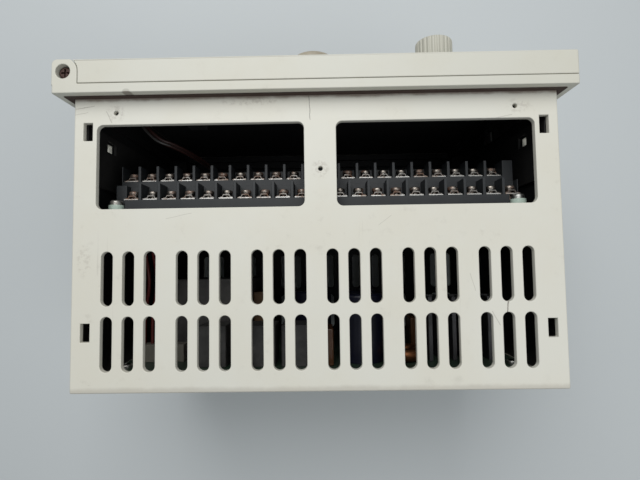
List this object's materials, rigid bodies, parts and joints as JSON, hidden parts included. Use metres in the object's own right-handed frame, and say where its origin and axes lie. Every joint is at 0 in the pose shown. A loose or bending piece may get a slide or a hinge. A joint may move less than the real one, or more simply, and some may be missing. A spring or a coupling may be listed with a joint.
{
  "type": "panel mount process controller",
  "caption": "Panel-mounted process controller with a vented case, a hinged front door with knob, keys and display, and a two-tier terminal block inside.",
  "frame": {"origin": "centre of the bottom of the whole object's box", "axes": "+X to the right across the width, +Y out of the front door, +Z out of the cable-entry face"},
  "size_m": [0.2418, 0.172, 0.15],
  "materials": {
    "case_abs": "moulded cream ABS, fine satin texture, dusty",
    "bezel_abs": "moulded cream ABS, satin",
    "gasket": "dark brown foam gasket",
    "overlay": "printed polyester film, fine grain",
    "window": "smoked red acrylic window",
    "display": "black seven-segment display face",
    "board": "green solder-masked circuit board",
    "screw_nickel": "nickel-plated steel, tarnished",
    "screw_black": "blackened steel",
    "plate_tin": "tinned terminal plate",
    "block_plastic": "charcoal phenolic moulding",
    "washer_pale": "pale green fibre washer",
    "chassis_steel": "dark painted steel",
    "knob_plastic": "cream-grey moulded plastic",
    "shaft_metal": "turned metal",
    "button_plastic": "brown-grey moulded plastic",
    "collar": "grey-brown moulded ring",
    "dark_plastic": "black moulded plastic",
    "spring_steel": "spring wire",
    "key_plastic": "grey moulded plastic",
    "led": "red diffused LED",
    "core": "varnished laminated steel",
    "coil": "amber tape over enamelled copper",
    "copper": "enamelled copper wire",
    "capacitor": "navy sleeve",
    "film": "dipped brown resin",
    "relay": "dusty grey relay cover",
    "aluminium": "extruded aluminium",
    "glass_tube": "glass fuse tube",
    "ribbon": "sheathed cable, dark grey",
    "wire": "PVC wire",
    "plug": "cream connector housing"
  },
  "bodies": {
    "case": {"rear_case": "case_abs", "panel_gasket": "gasket", "bezel_frame": "bezel_abs", "bezel_frame_screws": "screw_nickel", "hinge_screws": "screw_black", "latch_strike": "plate_tin", "terminal_block": "block_plastic", "terminal_plates": "plate_tin", "terminal_clamps": "plate_tin", "terminal_spring_washers": "screw_nickel", "terminal_screws": "screw_nickel", "block_washers": "washer_pale", "block_mounting_screws": "screw_nickel", "terminal_board": "board", "terminal_board_screws": "screw_nickel", "left_side_plate": "chassis_steel", "right_side_plate": "chassis_steel", "power_board": "board", "power_board_standoffs": "plate_tin", "power_board_screws": "screw_nickel", "transformer_core": "core", "transformer_coil": "coil", "smoothing_capacitors": "capacitor", "film_capacitors": "film", "relays": "relay", "choke": "copper", "heat_sink": "aluminium", "power_transistors": "dark_plastic", "fuse": "glass_tube", "fuse_clips": "plate_tin", "control_chips": "dark_plastic", "board_connectors": "plug", "case_cable_plug": "plug", "case_cable": "ribbon", "power_wires": "wire"},
    "door": {"door_panel": "bezel_abs", "door_shield": "chassis_steel", "front_overlay": "overlay", "display_window": "window", "display_module": "display", "display_board": "board", "display_board_screws": "screw_nickel", "status_leds": "led", "led_board": "board", "key_switches": "dark_plastic", "potentiometer_body": "plate_tin", "potentiometer_nut": "screw_nickel", "button_collar": "collar", "button_switch": "dark_plastic", "door_cable_plug": "plug", "door_cable": "ribbon", "button_spring": "spring_steel"},
    "knob": {"knob": "knob_plastic", "knob_set_screw": "screw_black", "potentiometer_shaft": "shaft_metal"},
    "round_button": {"round_button": "button_plastic"},
    "key_1": {"key_1": "key_plastic"},
    "key_2": {"key_2": "key_plastic"},
    "key_3": {"key_3": "key_plastic"},
    "key_4": {"key_4": "key_plastic"}
  },
  "joints": [
    {"name": "door_hinge", "type": "hinge", "parent": "case", "child": "door", "pos_m": [-0.1157, 0.0623, 0.075], "axis": [0, 0, 1], "range_deg": [0, 110]},
    {"name": "knob_turn", "type": "hinge", "parent": "door", "child": "knob", "pos_m": [0.0622, 0.068, 0.123], "axis": [0, 1, 0], "range_deg": [-150, 150]},
    {"name": "button_press", "type": "slide", "parent": "door", "child": "round_button", "axis": [0, -1, 0], "range_m": [0, 0.0025], "stiffness_N_per_m": 600, "deforming": ["button_spring"]},
    {"name": "key_1_press", "type": "slide", "parent": "door", "child": "key_1", "axis": [0, -1, 0], "range_m": [0, 0.0008], "stiffness_N_per_m": 900},
    {"name": "key_2_press", "type": "slide", "parent": "door", "child": "key_2", "axis": [0, -1, 0], "range_m": [0, 0.0008], "stiffness_N_per_m": 900},
    {"name": "key_3_press", "type": "slide", "parent": "door", "child": "key_3", "axis": [0, -1, 0], "range_m": [0, 0.0008], "stiffness_N_per_m": 900},
    {"name": "key_4_press", "type": "slide", "parent": "door", "child": "key_4", "axis": [0, -1, 0], "range_m": [0, 0.0008], "stiffness_N_per_m": 900}
  ]
}
